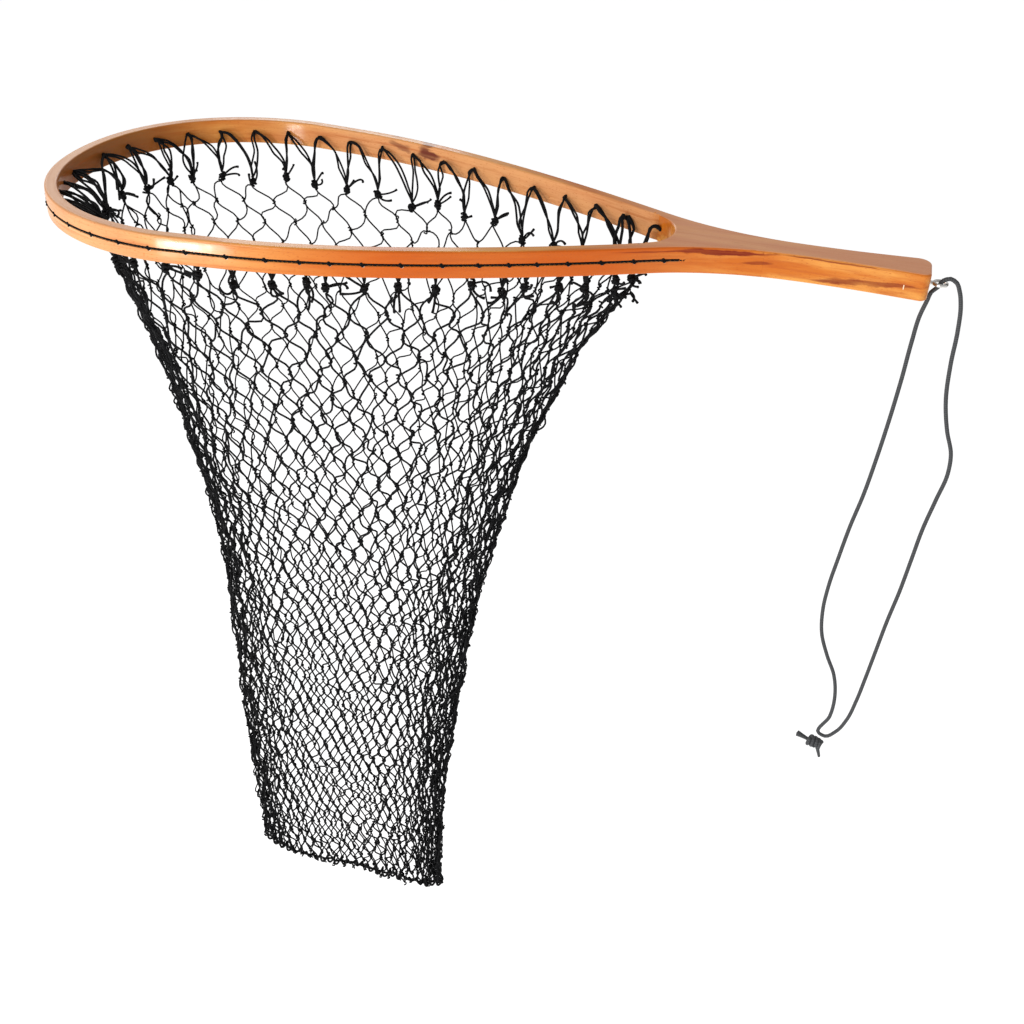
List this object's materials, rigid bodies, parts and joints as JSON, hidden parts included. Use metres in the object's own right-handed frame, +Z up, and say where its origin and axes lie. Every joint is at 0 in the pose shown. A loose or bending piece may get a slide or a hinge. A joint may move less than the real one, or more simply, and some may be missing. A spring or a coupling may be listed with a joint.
{
  "type": "landing net",
  "caption": "Wooden landing net with a teardrop hoop, a slim handle, a deep knotted black net bag tied to the hoop, and a cord loop on a screw eye.",
  "frame": {"origin": "middle of the hand grip on the handle, halfway through the wood's height", "axes": "+X along the handle towards its butt, the hoop's tip at -X; +Z up out of the hoop's mouth, the bag hanging along -Z; +Y across the hoop"},
  "size_m": [0.6423, 0.2612, 0.6827],
  "materials": {
    "varnished_wood": "clear varnish, semi-gloss",
    "black_twine": "twisted black nylon twine, knotted",
    "lanyard_cord": "round dark grey elastic cord with a woven sheath",
    "nickel_wire": "bright nickel-plated steel wire"
  },
  "bodies": {
    "net": {"hoop": "varnished_wood", "handle": "varnished_wood", "groove_lashing": "black_twine", "net_tie_01": "black_twine", "net_tie_02": "black_twine", "net_tie_03": "black_twine", "net_tie_04": "black_twine", "net_tie_05": "black_twine", "net_tie_06": "black_twine", "net_tie_07": "black_twine", "net_tie_08": "black_twine", "net_tie_09": "black_twine", "net_tie_10": "black_twine", "net_tie_11": "black_twine", "net_tie_12": "black_twine", "net_tie_13": "black_twine", "net_tie_14": "black_twine", "net_tie_15": "black_twine", "net_tie_16": "black_twine", "net_tie_17": "black_twine", "net_tie_18": "black_twine", "net_tie_19": "black_twine", "net_tie_20": "black_twine", "net_tie_21": "black_twine", "net_tie_22": "black_twine", "net_tie_23": "black_twine", "net_tie_24": "black_twine", "net_tie_25": "black_twine", "net_tie_26": "black_twine", "net_tie_27": "black_twine", "net_tie_28": "black_twine", "net_tie_29": "black_twine", "net_tie_30": "black_twine", "net_tie_31": "black_twine", "net_tie_32": "black_twine", "net_tie_33": "black_twine", "net_tie_34": "black_twine", "net_tie_35": "black_twine", "net_tie_36": "black_twine", "net_tie_37": "black_twine", "net_tie_38": "black_twine", "net_tie_39": "black_twine", "net_tie_40": "black_twine", "net_tie_41": "black_twine", "net_tie_42": "black_twine", "net_tie_43": "black_twine", "net_bag": "black_twine", "bottom_lacing": "black_twine", "screw_eye": "nickel_wire"},
    "lanyard": {"lanyard_cord": "lanyard_cord", "lanyard_knot": "lanyard_cord"}
  },
  "joints": [
    {"name": "lanyard_swing", "type": "hinge", "parent": "net", "child": "lanyard", "pos_m": [0.11095, 0, -0.0008], "axis": [0, -1, 0], "range_deg": [0, 120]}
  ]
}
